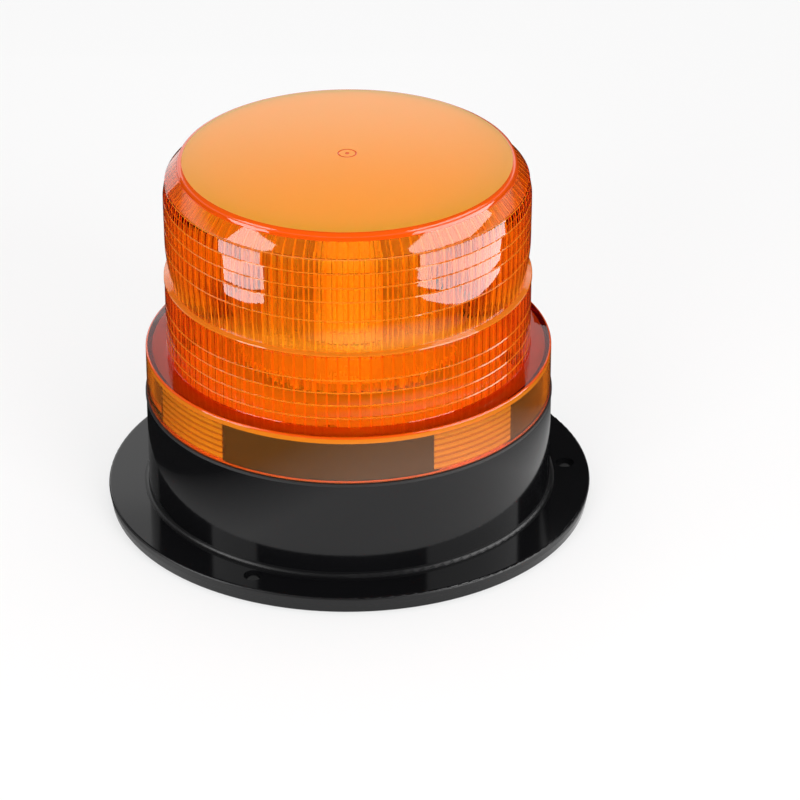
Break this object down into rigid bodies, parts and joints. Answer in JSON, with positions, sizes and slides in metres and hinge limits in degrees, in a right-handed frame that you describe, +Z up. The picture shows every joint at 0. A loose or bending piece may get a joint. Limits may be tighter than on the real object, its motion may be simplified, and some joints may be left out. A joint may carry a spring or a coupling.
{
  "type": "rotating beacon",
  "caption": "Flange-mounted amber warning beacon: a motor turns a mirror around a fixed lamp under a ribbed twist-lock lens.",
  "frame": {"origin": "centre of the mounting flange's underside", "axes": "+Z up along the beacon's axis, out of the lens; -Y towards the viewer of the picture; +X to the right"},
  "size_m": [0.135, 0.135, 0.104],
  "materials": {
    "housing_black": "glossy moulded black plastic",
    "cover_black": "satin moulded black plastic",
    "amber": "clear amber polycarbonate, glossy, ribbed",
    "seal_rubber": "soft black rubber",
    "white_plastic": "white moulded plastic",
    "frosted": "frosted white diffusing plastic",
    "screw_steel": "zinc plated steel",
    "turned_brass": "turned brass",
    "mirror_chrome": "bright metallised plastic",
    "gear_nylon": "natural nylon",
    "board_green": "green glass-epoxy laminate",
    "led_white": "yellowish lamp chip resin",
    "lamp_aluminium": "extruded aluminium",
    "motor_steel": "drawn steel",
    "magnet_ferrite": "dark ferrite",
    "motor_plastic": "black end cap plastic",
    "copper": "copper",
    "capacitor_sleeve": "shrunk dark sleeve",
    "terminal_green": "green terminal plastic",
    "chip_black": "black chip resin"
  },
  "bodies": {
    "housing": {"base_housing": "housing_black", "base_cover": "cover_black", "base_seal": "seal_rubber", "base_cover_screws": "screw_steel", "cable_grommet": "seal_rubber", "circuit_board": "board_green", "board_screws": "screw_steel", "capacitor": "capacitor_sleeve", "terminal_block": "terminal_green", "driver_chip": "chip_black", "rectifier": "chip_black", "choke_coil": "copper", "tray": "white_plastic", "tray_screws": "screw_steel", "lamp_spindle": "turned_brass", "spindle_nut": "turned_brass", "thrust_washer": "screw_steel", "turntable_clip": "screw_steel", "lamp_base": "white_plastic", "lamp_post": "lamp_aluminium", "lamp_tube": "frosted", "lamp_cap": "white_plastic", "led_boards": "board_green", "led_chips": "led_white", "idler_axle": "screw_steel", "motor_can": "motor_steel", "motor_bush": "turned_brass", "motor_end_cap": "motor_plastic", "motor_magnets": "magnet_ferrite", "motor_tabs": "turned_brass", "motor_screws": "screw_steel", "lens_seal": "seal_rubber"},
    "lens": {"lens": "amber"},
    "turntable": {"turntable_gear": "gear_nylon", "turntable_bush": "turned_brass", "turntable_disc": "mirror_chrome", "mirror": "mirror_chrome", "mirror_screws": "screw_steel"},
    "idler": {"idler_gear": "gear_nylon"},
    "motor_rotor": {"motor_shaft": "screw_steel", "armature": "motor_steel", "commutator": "copper", "motor_pinion": "turned_brass"}
  },
  "joints": [
    {"name": "turntable_spin", "type": "hinge", "parent": "housing", "child": "turntable", "pos_m": [0, 0, 0.05], "axis": [0, 0, 1], "continuous": true},
    {"name": "idler_spin", "type": "hinge", "parent": "housing", "child": "idler", "pos_m": [-0.0244, 0.0244, 0.046], "axis": [0, 0, 1], "continuous": true},
    {"name": "motor_spin", "type": "hinge", "parent": "housing", "child": "motor_rotor", "pos_m": [-0.0108, 0.022, 0.03], "axis": [0, 0, 1], "continuous": true},
    {"name": "lens_twist", "type": "hinge", "parent": "housing", "child": "lens", "pos_m": [0, 0, 0.04], "axis": [0, 0, 1], "range_deg": [0, 29]}
  ],
  "couplings": [
    {"joint": "idler_spin", "follows": "turntable_spin", "ratio": -6.6667},
    {"joint": "motor_spin", "follows": "turntable_spin", "ratio": 24}
  ]
}
